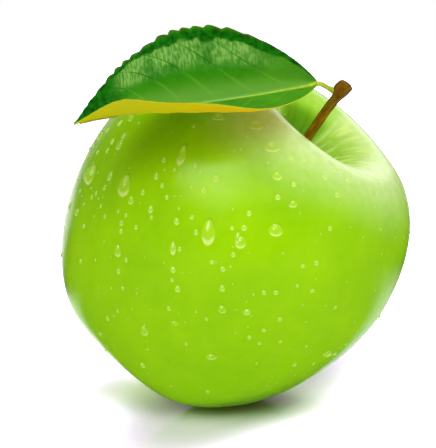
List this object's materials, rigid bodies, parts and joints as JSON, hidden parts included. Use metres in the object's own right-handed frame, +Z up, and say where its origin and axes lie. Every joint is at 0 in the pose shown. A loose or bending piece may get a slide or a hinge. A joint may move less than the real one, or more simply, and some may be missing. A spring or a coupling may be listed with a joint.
{
  "type": "apple",
  "caption": "Green apple as picked, with its woody stem, a toothed leaf on the stem and the dried calyx, lying tilted on a small flat spot.",
  "frame": {"origin": "middle of the small flat spot that the fruit rests on", "axes": "+Z up; the fruit's core line leans 40.5 degrees from +Z towards +X, stem end up; the leaf hangs over the -Y side"},
  "size_m": [0.0866, 0.0923, 0.0941],
  "materials": {
    "skin": "gloss",
    "stem": "matte",
    "leaf": "satin",
    "calyx": "matte"
  },
  "bodies": {
    "root": {"fruit": "skin", "stem": "stem", "leaf": "leaf", "calyx": "calyx"}
  },
  "joints": []
}
